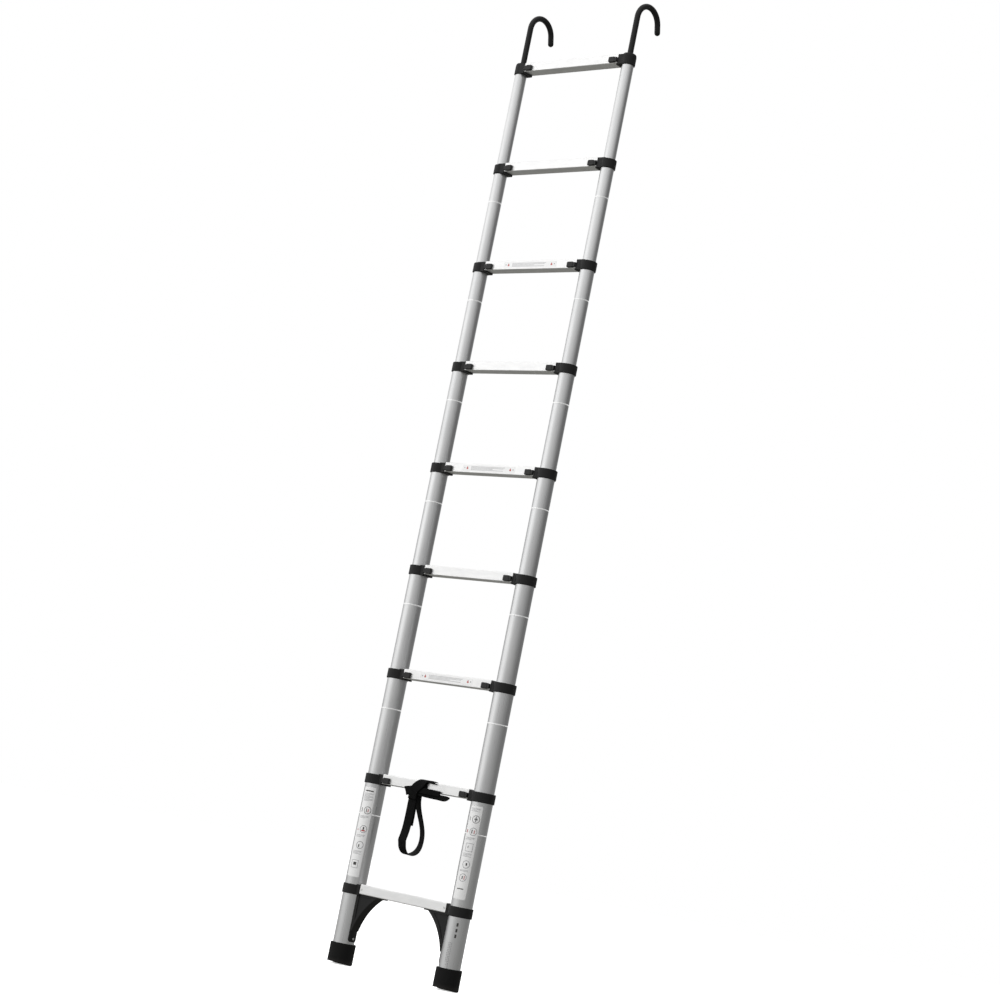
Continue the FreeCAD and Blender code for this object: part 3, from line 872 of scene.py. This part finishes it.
def lay_on_stile(axis, turn=LABEL_TURN):
    """A surface function for tube 1: x is across the label, z the height."""
    radius = tube_radius(1)

    def lay(x, z, lift):
        angle = math.radians(turn) + x / radius
        out = radius + lift
        return (axis + out * math.sin(angle), -out * math.cos(angle), z)

    return lay


def start_stile_label(axis):
    """The paper of a stile's label, and the height of its top edge."""
    sheet = Print(lay_on_stile(axis))
    top = rung_height(2) - LABEL_TOP_MARGIN
    bottom = rung_height(1) + LABEL_BOTTOM_MARGIN
    sheet.add_sheet(-LABEL_WIDTH / 2, LABEL_WIDTH / 2, bottom, top, LABEL_CORNER)
    return sheet, top


def add_left_label(materials):
    """Generic print for the left stile: bars, circles, one square."""
    sheet, top = start_stile_label(stile_places()[0])
    sheet.add_marks(top, [(-12, 13, 12.5, 9, DARK_INK)])
    sheet.add_lines(-14 * MM, 15 * MM, top - 17 * MM, 9, GREY_INK)
    circles = [(6, 64, DARK_INK), (5, 116, GREY_INK), (4, 160, GREY_INK)]
    sheet.add_circles(top, 1.5 * MM, circles)
    sheet.add_marks(
        top,
        [
            (2, 4, 70, 59, DARK_INK),
            (7, 9, 69, 60, RED_INK),
            (-13, -10.5, 70, 58, DARK_INK),
            (0, 10, 122, 118.5, RED_INK),
            (3, 7, 118, 110, DARK_INK),
            (-14, -11, 121, 117, RED_INK),
            (0, 3, 166, 158, DARK_INK),
        ],
    )
    sheet.add_paragraphs(top, [(80, 3), (132, 3), (176, 4)])
    sheet.add_frame(0 * MM, top - 212 * MM, 10 * MM, 11 * MM, FRAME_STROKE, GREY_INK)
    sheet.add_marks(top, [(-4, 5, 215, 207, DARK_INK)])
    sheet.finish("stile_label_left", "base", materials)


def add_right_label(materials):
    """Generic print for the right stile."""
    sheet, top = start_stile_label(stile_places()[1])
    sheet.add_lines(-13 * MM, 14 * MM, top - 6 * MM, 4, GREY_INK)
    circles = [(6, 35, DARK_INK), (5, 68, GREY_INK), (3, 155, GREY_INK), (1, 190, GREY_INK)]
    sheet.add_circles(top, 1.4 * MM, circles)
    sheet.add_marks(
        top,
        [
            (2, 10, 37, 33, DARK_INK),
            (4.5, 7.5, 42, 28, GREY_INK),
            (-13, -11, 40, 30, DARK_INK),
            (0, 3, 73, 63, DARK_INK),
            (7, 9, 73, 64, RED_INK),
            (-15, -12, 72, 64, RED_INK),
        ],
    )
    sheet.add_frame(2 * MM, top - 110 * MM, 10.5 * MM, 11 * MM, FRAME_STROKE, GREY_INK)
    sheet.add_marks(
        top,
        [
            (-2, 0, 112, 106, DARK_INK),
            (2, 6, 158, 151, DARK_INK),
            (-2, 1, 194, 186, DARK_INK),
            (4, 6, 195, 185, RED_INK),
        ],
    )
    sheet.add_paragraphs(top, [(84, 3), (126, 4), (170, 2)])
    sheet.add_marks(top, [(-10, 9, 221, 218.5, DARK_INK)])
    sheet.finish("stile_label_right", "base", materials)


def add_lower_print(materials):
    """Generic ink marks on the right stile, between the foot and rung 1."""
    sheet = Print(lay_on_stile(stile_places()[1], LOWER_PRINT_TURN))
    top = rung_height(1) - 30 * MM
    for index in range(3):
        place = top - index * 15 * MM
        sheet.add_bar(1 * MM, 6 * MM, place - 9 * MM, place, DARK_INK)
    for column in range(3):
        for index in range(16 - 2 * column):
            left = (-3 - 4 * column) * MM
            place = top - (52 + 4.4 * index) * MM
            sheet.add_bar(left, left + 1.4 * MM, place - 2.6 * MM, place, GREY_INK)
    sheet.finish("stile_print_right", "base", materials)


def add_rung_label(number, materials):
    """Generic strip on the front of a rung: two red marks and lines of print between."""
    front, height = rung_front(), rung_height(number)

    def lay(x, z, lift):
        return (x, front - lift, height + z)

    sheet = Print(lay)
    half = RUNG_LABEL_HEIGHT / 2
    middle = RUNG_LABEL_RISE
    sheet.add_sheet(-RUNG_LABEL_HALF, RUNG_LABEL_HALF, middle - half, middle + half, 2 * MM)
    for side in (-1, 1):
        for out, half_width, lower, upper, ink in (
            (79, 3, -3, 1, RED_INK),
            (79, 1.5, 1, 4, RED_INK),
            (89, 1.5, -1, 2, GREY_INK),
        ):
            place = side * out * MM
            reach = half_width * MM
            sheet.add_bar(
                place - reach, place + reach, middle + lower * MM, middle + upper * MM, ink
            )
    sheet.add_lines(-66 * MM, 58 * MM, middle + 5 * MM, 4, GREY_INK, 3 * MM)
    sheet.finish("rung_label_%d" % number, tube_body(number - 1), materials)


# ---- stage and light ---------------------------------------------------------
FLOOR_SIZE = 80.0
FLOOR_GAP = 0.5 * MM
FLOOR_GLOW = 0.5
KEY_AZIMUTH = -41.0
# Name, azimuth, distance, height, height of the point aimed at, size, power.
SOFTBOXES = [
    ("key", KEY_AZIMUTH, 5.0, 3.4, 1.4, (3.0, 3.5), 200.0),
    ("fill", 70.0, 6.0, 2.5, 1.3, (2.5, 3.5), 60.0),
    ("back", 165.0, 6.0, 2.6, 1.3, (3.0, 3.5), 320.0),
]
STUDIO_STRENGTH = 1.3
# Brightness against the direction: 0 is away from the key, 1 towards it.
LOW_LIGHT = [
    (0.0, grey(0.09)),
    (0.08, grey(0.14)),
    (0.25, grey(0.2)),
    (0.58, grey(0.29)),
    (0.8, grey(0.4)),
    (0.9, grey(0.62)),
    (0.97, grey(0.92)),
    (1.0, grey(1.0)),
]
HIGH_LIGHT = [
    (0.0, grey(0.09)),
    (0.08, grey(0.16)),
    (0.25, grey(0.44)),
    (0.58, grey(0.74)),
    (0.8, grey(0.82)),
    (1.0, grey(0.81)),
]
# Height of a direction at which the even ceiling begins and takes over.
CEILING_SPAN = (0.16, 0.34)
HORIZON_SPAN = (-0.03, 0.03)
GROUND_DEPTH = 0.4
GROUND_LIGHT = [
    (0.0, grey(0.31)),
    (0.25, (0.21, 0.21, 0.2)),
    (0.8, (0.15, 0.15, 0.14)),
    (1.0, (0.13, 0.13, 0.12)),
]


def add_floor():
    """Plain pale floor at the feet."""
    mesh = bmesh.new()
    bmesh.ops.create_grid(mesh, x_segments=8, y_segments=8, size=FLOOR_SIZE / 2)
    data = bpy.data.meshes.new("floor")
    mesh.to_mesh(data)
    mesh.free()
    material, _, shader = new_material("floor", grey(0.9), 0.0, 0.9)
    shader.inputs["Emission Color"].default_value = (1, 1, 1, 1)
    shader.inputs["Emission Strength"].default_value = FLOOR_GLOW
    data.materials.append(material)
    floor = bpy.data.objects.new("floor", data)
    floor.location.z = cad_box[0][2] - FLOOR_GAP
    floor.visible_glossy = False
    floor.visible_diffuse = False
    bpy.context.scene.collection.objects.link(floor)


def add_area_light(name, azimuth, distance, height, aim_height, size, power):
    """A rectangular softbox; azimuth 0 is in front of the ladder, 90 to its right."""
    data = bpy.data.lights.new(name, "AREA")
    data.shape = "RECTANGLE"
    data.size, data.size_y = size
    data.energy = power
    light = bpy.data.objects.new(name, data)
    turn = math.radians(azimuth)
    light.location = (distance * math.sin(turn), -distance * math.cos(turn), height)
    aim = Vector((0, 0, aim_height)) - light.location
    light.rotation_mode = "QUATERNION"
    light.rotation_quaternion = aim.to_track_quat("-Z", "Y")
    light.visible_glossy = False
    bpy.context.scene.collection.objects.link(light)


def blend(tree, factor, first, second):
    """Mixes two colours; the factor is a socket."""
    node = tree.nodes.new("ShaderNodeMix")
    node.data_type = "RGBA"
    tree.links.new(factor, node.inputs[0])
    tree.links.new(first, node.inputs[6])
    tree.links.new(second, node.inputs[7])
    return node.outputs[2]


def add_world():
    """White backdrop. Near the horizon the studio's own light comes mostly from the
    key's side, higher up it is more even, and the ground sends back less."""
    world = bpy.data.worlds.new("studio")
    bpy.context.scene.world = world
    world.use_nodes = True
    tree = world.node_tree
    tree.nodes.clear()
    place = tree.nodes.new("ShaderNodeTexCoord")
    split = tree.nodes.new("ShaderNodeSeparateXYZ")
    tree.links.new(place.outputs["Generated"], split.inputs["Vector"])
    turn = math.radians(KEY_AZIMUTH)
    towards_key = tree.nodes.new("ShaderNodeVectorMath")
    towards_key.operation = "DOT_PRODUCT"
    towards_key.inputs[1].default_value = (math.sin(turn), -math.cos(turn), 0)
    tree.links.new(place.outputs["Generated"], towards_key.inputs[0])
    facing = spread(tree, towards_key.outputs["Value"], 0.0, 1.0, -1.0, 1.0)
    height = split.outputs["Z"]
    low_light = ramp(tree, facing, LOW_LIGHT)
    high_light = ramp(tree, facing, HIGH_LIGHT)
    sky = blend(tree, spread(tree, height, 0.0, 1.0, *CEILING_SPAN), low_light, high_light)
    ground = ramp(tree, spread(tree, height, 0.0, 1.0, 0.0, -GROUND_DEPTH), GROUND_LIGHT)
    lighting = tree.nodes.new("ShaderNodeBackground")
    light = blend(tree, spread(tree, height, 0.0, 1.0, *HORIZON_SPAN), ground, sky)
    tree.links.new(light, lighting.inputs["Color"])
    lighting.inputs["Strength"].default_value = STUDIO_STRENGTH
    backdrop = tree.nodes.new("ShaderNodeBackground")
    backdrop.inputs["Color"].default_value = (1, 1, 1, 1)
    seen = tree.nodes.new("ShaderNodeLightPath")
    mix = tree.nodes.new("ShaderNodeMixShader")
    output = tree.nodes.new("ShaderNodeOutputWorld")
    tree.links.new(seen.outputs["Is Camera Ray"], mix.inputs["Fac"])
    tree.links.new(lighting.outputs["Background"], mix.inputs[1])
    tree.links.new(backdrop.outputs["Background"], mix.inputs[2])
    tree.links.new(mix.outputs["Shader"], output.inputs["Surface"])


def add_stage():
    """Floor, backdrop and lamps."""
    add_floor()
    add_world()
    for softbox in SOFTBOXES:
        add_area_light(*softbox)
    bpy.context.scene.view_settings.view_transform = "Standard"


# ---- everything --------------------------------------------------------------
add_camera()
materials = make_materials()
dress_cad_nodes(materials)
add_strap(materials["webbing"])
add_marker_rings(materials["marker_ring"])
label_materials = [materials[name] for name in ("label_white", "ink_grey", "ink_dark", "ink_red")]
add_left_label(label_materials)
add_right_label(label_materials)
add_lower_print(label_materials)
for rung_number in LABELLED_RUNGS:
    add_rung_label(rung_number, label_materials)
add_stage()
